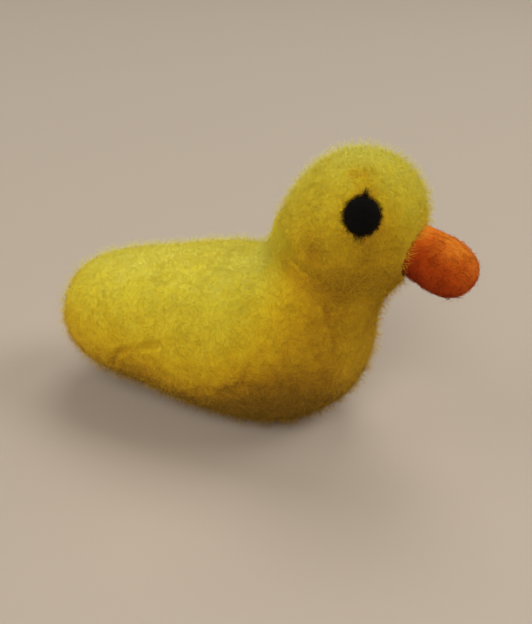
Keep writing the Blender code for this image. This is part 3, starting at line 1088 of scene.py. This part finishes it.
def make_eye(name, head_skin):
    """An eye's felt and its ragged rim: fibres that start near the rim and lie on the head every which way,
    and a spike of longer ones above and below."""
    place, side = EYES[name], EYE_SIDES[name]
    form = eye_form(place)
    skin = form.raised(0.06 * MM * tufts(form.points, 0.9 * MM, 15))
    tone = 0.35 + 0.25 * lumps(skin.points, 0.6 * MM, 16)
    obj = skin_piece(f"eye_{name}_felt", skin, skin.points, tone, BLACK_FELT)
    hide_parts(f"eye_{name}")
    rim, spike = EYE_RIM_WOOL, EYE_SPIKE_WOOL
    all_round = chance.uniform(0, 2 * np.pi, rim)
    above = np.pi / 2 + chance.normal(size=spike) * 0.10
    below = -np.pi / 2 + chance.normal(size=spike) * 0.12
    angle = np.concatenate([all_round, above, below])
    count = len(angle)
    share = np.concatenate([chance.uniform(0.7, 1.05, rim), chance.uniform(0.8, 1.0, 2 * spike)])
    across, upward = place[:3, 0], place[:3, 1]
    row, turned = head_cell(np.full(count, side * EYE_TURN), np.full(count, EYE_RISE))
    row, turned = head_skin.walk(row, turned, around(across, upward, angle), EYE_WIDTH / 2 * share)
    angle[:rim] += chance.normal(size=rim) * 0.9
    heading = around(across, upward, angle)
    rises = lying(count, 0.10 * MM, 4) + 0.12 * MM
    length = np.concatenate([chance.uniform(0.3, 1.0, rim), chance.uniform(0.8, 1.9, 2 * spike)]) * MM
    paths = follow(head_skin, row, turned, heading, length, rises, curl=0.2)
    fibre_tone = 0.45 + chance.random(count) * 0.5
    fibre_piece(f"eye_{name}_wool", paths, fibre_width(count), fibre_tone, BLACK_FIBRES)


# Floor, light and camera. The camera's place follows from the photo's frame: the pixel where the duck's
# middle lies, and the focal length in pixels.

CAMERA_TURN, CAMERA_RISE, CAMERA_ROLL = math.radians(10), math.radians(32), math.radians(4)
CAMERA_REACH = 105 * MM
LOOK_AT = np.array([-2.15, 0, 16.6]) * MM
PHOTO_WIDTH, PHOTO_HEIGHT = 532, 624
LOOK_AT_PIXEL = (242, 300)
FOCAL_PIXELS = 750
SENSOR = 36

FLOOR_REACH, FLOOR_DROP = 3.0, 0.05 * MM
FLOOR_COLOUR = (0.60, 0.50, 0.395, 1)
WORLD_COLOUR, WORLD_STRENGTH = (1.0, 0.98, 0.95, 1), 0.10
LAMP_SIZE = 0.5
LAMP_AIM = Vector((0, 0, 0.015))
LAMPS = (
    ("window", (0, 0.45, 0.87), 2.6, (1.0, 0.99, 0.97)),
    ("room light", (0, -0.70, 0.70), 3.75, (1.0, 0.99, 0.97)),
    ("left wall", (-0.90, -0.20, 0.25), 2.5, (1.0, 0.99, 0.96)),
    ("right wall", (0.64, 0.24, 0.64), 2.8, (1.0, 0.99, 0.96)),
)


def make_floor():
    """A pale square just under the duck."""
    reach, z = FLOOR_REACH, -FLOOR_DROP
    points = [(-reach, -reach, z), (reach, -reach, z), (reach, reach, z), (-reach, reach, z)]
    mesh = bpy.data.meshes.new("floor")
    mesh.from_pydata(points, [], [(0, 1, 2, 3)])
    floor = bpy.data.objects.new("floor", mesh)
    bpy.context.scene.collection.objects.link(floor)
    mesh.materials.append(Felt("pale floor").shade(Base_Color=FLOOR_COLOUR, Roughness=0.7))


def make_lamp(name, place, strength, colour):
    """A square soft box that faces the duck."""
    lamp = bpy.data.lights.new(name, "AREA")
    lamp.shape, lamp.size = "SQUARE", LAMP_SIZE
    lamp.energy, lamp.color = strength, colour
    obj = bpy.data.objects.new(name, lamp)
    bpy.context.scene.collection.objects.link(obj)
    obj.location = place
    obj.rotation_euler = (LAMP_AIM - Vector(place)).to_track_quat("-Z", "Y").to_euler()


def make_light():
    """A dim world and the lamps."""
    world = bpy.data.worlds.new("room")
    world.use_nodes = True
    background = world.node_tree.nodes["Background"]
    background.inputs["Color"].default_value = WORLD_COLOUR
    background.inputs["Strength"].default_value = WORLD_STRENGTH
    bpy.context.scene.world = world
    for lamp in LAMPS:
        make_lamp(*lamp)


def make_camera():
    """Looks at the duck's middle from its right, which lies a little off the picture's centre."""
    back = np.array(
        [
            math.sin(CAMERA_TURN) * math.cos(CAMERA_RISE),
            -math.cos(CAMERA_TURN) * math.cos(CAMERA_RISE),
            math.sin(CAMERA_RISE),
        ]
    )
    level = np.array([math.cos(CAMERA_TURN), math.sin(CAMERA_TURN), 0])
    above = np.cross(back, level)
    right = math.cos(CAMERA_ROLL) * level + math.sin(CAMERA_ROLL) * above
    up = -math.sin(CAMERA_ROLL) * level + math.cos(CAMERA_ROLL) * above
    shift_x = (LOOK_AT_PIXEL[0] - PHOTO_WIDTH / 2) / FOCAL_PIXELS * CAMERA_REACH
    shift_y = (LOOK_AT_PIXEL[1] - PHOTO_HEIGHT / 2) / FOCAL_PIXELS * CAMERA_REACH
    place = LOOK_AT + CAMERA_REACH * back - shift_x * right + shift_y * up
    data = bpy.data.cameras.new("camera")
    data.sensor_fit = "VERTICAL"
    data.sensor_height = SENSOR
    data.lens = FOCAL_PIXELS / PHOTO_HEIGHT * SENSOR
    data.clip_start, data.clip_end = 0.005, 20
    camera = bpy.data.objects.new("camera", data)
    bpy.context.scene.collection.objects.link(camera)
    matrix = np.eye(4)
    matrix[:3, 0], matrix[:3, 1], matrix[:3, 2], matrix[:3, 3] = right, up, back, place
    camera.matrix_world = Matrix(matrix.tolist())
    bpy.context.scene.camera = camera


body_skin, body_tones, body_to_head = make_body()
head_skin = make_head()
make_neck(body_skin, body_tones, body_to_head)
make_beak()
for eye_name in EYES:
    make_eye(eye_name, head_skin)
make_floor()
make_light()
make_camera()
bpy.context.scene.view_settings.view_transform = "Standard"
